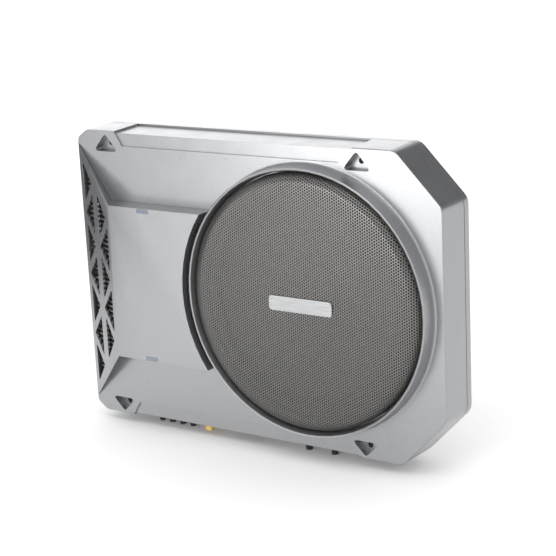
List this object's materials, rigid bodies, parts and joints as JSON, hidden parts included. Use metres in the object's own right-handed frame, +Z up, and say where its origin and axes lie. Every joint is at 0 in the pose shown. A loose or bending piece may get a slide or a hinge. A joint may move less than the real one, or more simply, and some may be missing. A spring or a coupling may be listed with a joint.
{
  "type": "powered car subwoofer",
  "caption": "Flat powered under-seat car subwoofer: cast case with cut corners, round perforated grille over a shallow driver, raised amplifier panel, truss guard over fins, controls below.",
  "frame": {"origin": "bottom centre of the whole object's box, under the tips of the fuse caps, with the object upright on the edge that holds its controls", "axes": "+X towards the driver's end of the case, +Y from the grille into the case towards its rear cover, +Z up, away from the edge with the controls"},
  "size_m": [0.3478, 0.07, 0.2594],
  "materials": {
    "silver_paint": "silver paint over a die-cast case, fine metallic flake, satin",
    "black_paint": "black powder coat, fine texture",
    "grille_steel": "perforated steel in a warm grey metallic coat",
    "heat_sink_metal": "bare extruded aluminium",
    "rubber": "matt black rubber and foam",
    "cone_paper": "coated black pulp",
    "spider_cloth": "resin-treated woven cloth",
    "copper_wire": "enamelled copper winding",
    "ferrite": "dull sintered ferrite",
    "plated_steel": "zinc-plated steel",
    "black_plastic": "satin black moulded plastic",
    "gold_plate": "gold-plated brass",
    "lens": "dark clear lens",
    "circuit_board": "green solder resist",
    "capacitor_sleeve": "dark blue shrink sleeve",
    "red_insulation": "red wire insulation"
  },
  "bodies": {
    "case": {"front_shell": "silver_paint", "rear_cover": "silver_paint", "seam_gasket": "rubber", "vent_guard": "silver_paint", "heat_sink": "heat_sink_metal", "power_lens": "lens", "protect_lens": "lens", "grille_mesh": "grille_steel", "badge_plate": "plated_steel", "case_screw_1": "black_paint", "case_screw_2": "black_paint", "case_screw_3": "black_paint", "case_screw_4": "black_paint", "basket": "black_paint", "driver_screw_1": "black_paint", "driver_screw_2": "black_paint", "driver_screw_3": "black_paint", "driver_screw_4": "black_paint", "driver_screw_5": "black_paint", "driver_screw_6": "black_paint", "surround": "rubber", "clamp_ring": "rubber", "spider": "spider_cloth", "top_plate": "plated_steel", "magnet": "ferrite", "pole_yoke": "plated_steel", "terminal_block": "black_plastic", "speaker_wire_red": "red_insulation", "speaker_wire_black": "rubber", "amp_board": "circuit_board", "transistor_1": "black_plastic", "transistor_2": "black_plastic", "transistor_3": "black_plastic", "transistor_4": "black_plastic", "clamp_bar": "plated_steel", "capacitor_1": "capacitor_sleeve", "capacitor_2": "capacitor_sleeve", "capacitor_3": "capacitor_sleeve", "toroid_choke": "copper_wire", "control_pot_1": "black_plastic", "control_pot_2": "black_plastic", "control_pot_3": "black_plastic", "control_pot_4": "black_plastic", "rca_jack_left": "gold_plate", "rca_jack_right": "gold_plate", "power_socket": "black_plastic", "phase_switch": "black_plastic", "fuse_holder_1": "black_plastic", "fuse_cap_1": "black_plastic", "fuse_holder_2": "black_plastic", "fuse_cap_2": "black_plastic"},
    "cone_assembly": {"cone": "cone_paper", "dust_cap": "cone_paper", "coil_former": "heat_sink_metal", "voice_coil": "copper_wire"},
    "knob_1": {"control_knob_1": "black_plastic"},
    "knob_2": {"control_knob_2": "black_plastic"},
    "knob_3": {"control_knob_3": "black_plastic"},
    "knob_4": {"control_knob_4": "black_plastic"},
    "phase_slider": {"switch_slider": "black_plastic"}
  },
  "joints": [
    {"name": "cone_stroke", "type": "slide", "parent": "case", "child": "cone_assembly", "axis": [0, 1, 0], "range_m": [-0.006, 0.006], "stiffness_N_per_m": 3000, "deforming": ["surround", "spider"]},
    {"name": "knob_1_turn", "type": "hinge", "parent": "case", "child": "knob_1", "pos_m": [-0.1155, 0.001, 0.0055], "axis": [0, 0, 1], "range_deg": [-145, 145]},
    {"name": "knob_2_turn", "type": "hinge", "parent": "case", "child": "knob_2", "pos_m": [-0.1045, 0.001, 0.0055], "axis": [0, 0, 1], "range_deg": [-145, 145]},
    {"name": "knob_3_turn", "type": "hinge", "parent": "case", "child": "knob_3", "pos_m": [-0.0935, 0.001, 0.0055], "axis": [0, 0, 1], "range_deg": [-145, 145]},
    {"name": "knob_4_turn", "type": "hinge", "parent": "case", "child": "knob_4", "pos_m": [-0.0825, 0.001, 0.0055], "axis": [0, 0, 1], "range_deg": [-145, 145]},
    {"name": "phase_slide", "type": "slide", "parent": "case", "child": "phase_slider", "axis": [1, 0, 0], "range_m": [0, 0.004]}
  ]
}
